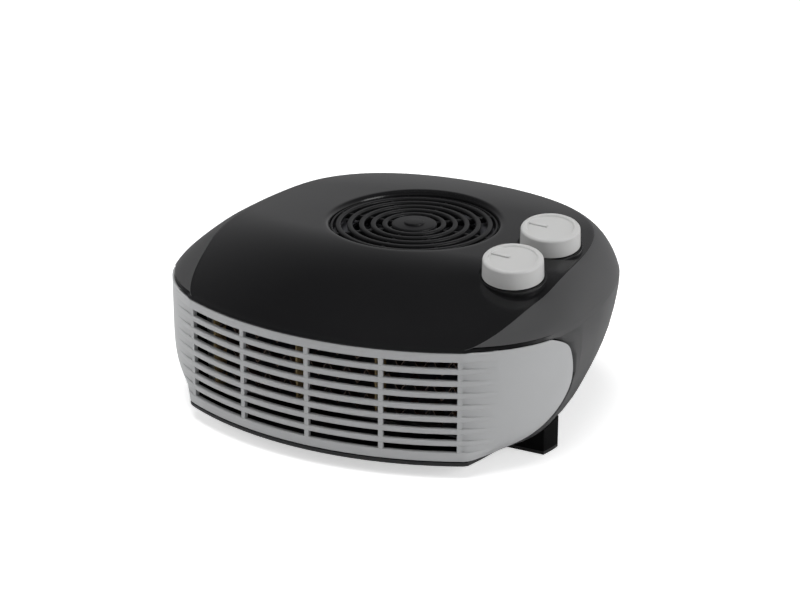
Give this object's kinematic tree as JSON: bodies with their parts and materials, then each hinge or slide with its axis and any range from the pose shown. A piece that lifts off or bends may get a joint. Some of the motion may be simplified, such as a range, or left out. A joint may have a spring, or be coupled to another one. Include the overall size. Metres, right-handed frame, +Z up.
{
  "type": "fan heater",
  "caption": "Low flat electric fan heater with a bowed slatted front grille, a round top intake, two dial knobs and splayed feet.",
  "frame": {"origin": "on the floor under the middle of the body", "axes": "+X to the body's own left as seen from the front, along its width; -Y is the grilled front, +Z up"},
  "size_m": [0.255, 0.23, 0.1126],
  "materials": {
    "gloss_black": "gloss black moulded plastic",
    "satin_black": "satin black moulded plastic",
    "silver_grey": "silver grey painted plastic",
    "light_grey": "light grey moulded plastic",
    "bright_steel": "bright steel",
    "brown_phenolic": "brown moulded resin",
    "grey_switch": "grey moulded plastic",
    "dark_grey_wheel": "dark grey moulded plastic",
    "lamination": "stacked steel sheets",
    "rotor_metal": "cast cage and steel sheets",
    "winding_tape": "taped copper winding",
    "sintered_bronze": "oiled bronze",
    "grey_inner": "heat resistant grey plastic",
    "mica": "mica sheet",
    "heating_alloy": "folded heating ribbon",
    "ceramic_white": "white ceramic and resin",
    "foot_black": "black moulded plastic",
    "rubber_pad": "black rubber",
    "zinc_screw": "zinc plated steel",
    "lead_brown": "brown insulated wire"
  },
  "bodies": {
    "housing": {"lower_housing": "satin_black", "upper_housing": "gloss_black", "front_grille": "silver_grey", "intake_grille": "satin_black", "thermostat_body": "brown_phenolic", "power_switch_body": "grey_switch", "motor_stator": "lamination", "motor_coil": "winding_tape", "upper_bearing": "sintered_bronze", "lower_bearing": "sintered_bronze", "upper_bearing_strap": "bright_steel", "lower_bearing_strap": "bright_steel", "scroll_housing": "grey_inner", "scroll_cover": "grey_inner", "heater_frame": "bright_steel", "heater_mica": "mica", "heater_ribbon": "heating_alloy", "thermal_cutout": "ceramic_white", "thermal_fuse": "ceramic_white", "terminal_block": "ceramic_white", "cord_gland": "satin_black", "foot_front_right": "foot_black", "foot_front_left": "foot_black", "foot_rear_right": "foot_black", "foot_rear_left": "foot_black", "pad_front_right": "rubber_pad", "pad_front_left": "rubber_pad", "pad_rear_right": "rubber_pad", "pad_rear_left": "rubber_pad", "housing_screw_front_right": "zinc_screw", "housing_screw_front_left": "zinc_screw", "housing_screw_rear_right": "zinc_screw", "housing_screw_rear_left": "zinc_screw", "motor_screw_left": "zinc_screw", "motor_screw_right": "zinc_screw", "supply_leads": "lead_brown"},
    "rotor": {"wheel_plate": "dark_grey_wheel", "wheel_blades": "dark_grey_wheel", "wheel_ring": "dark_grey_wheel", "motor_shaft": "bright_steel", "motor_rotor": "rotor_metal"},
    "thermostat": {"thermostat_knob": "light_grey", "thermostat_spindle": "bright_steel"},
    "power": {"power_knob": "light_grey", "power_spindle": "bright_steel"}
  },
  "joints": [
    {"name": "rotor_spin", "type": "hinge", "parent": "housing", "child": "rotor", "pos_m": [0, 0.01794, 0.05], "axis": [0, 0, 1], "continuous": true},
    {"name": "thermostat_turn", "type": "hinge", "parent": "housing", "child": "thermostat", "pos_m": [0.085, -0.0276, 0.09609], "axis": [0.0518, -0.1392, 0.9889], "range_deg": [-270, 0]},
    {"name": "power_turn", "type": "hinge", "parent": "housing", "child": "power", "pos_m": [0.085, 0.02369, 0.09772], "axis": [0.0518, -0.1392, 0.9889], "range_deg": [-270, 0]}
  ]
}
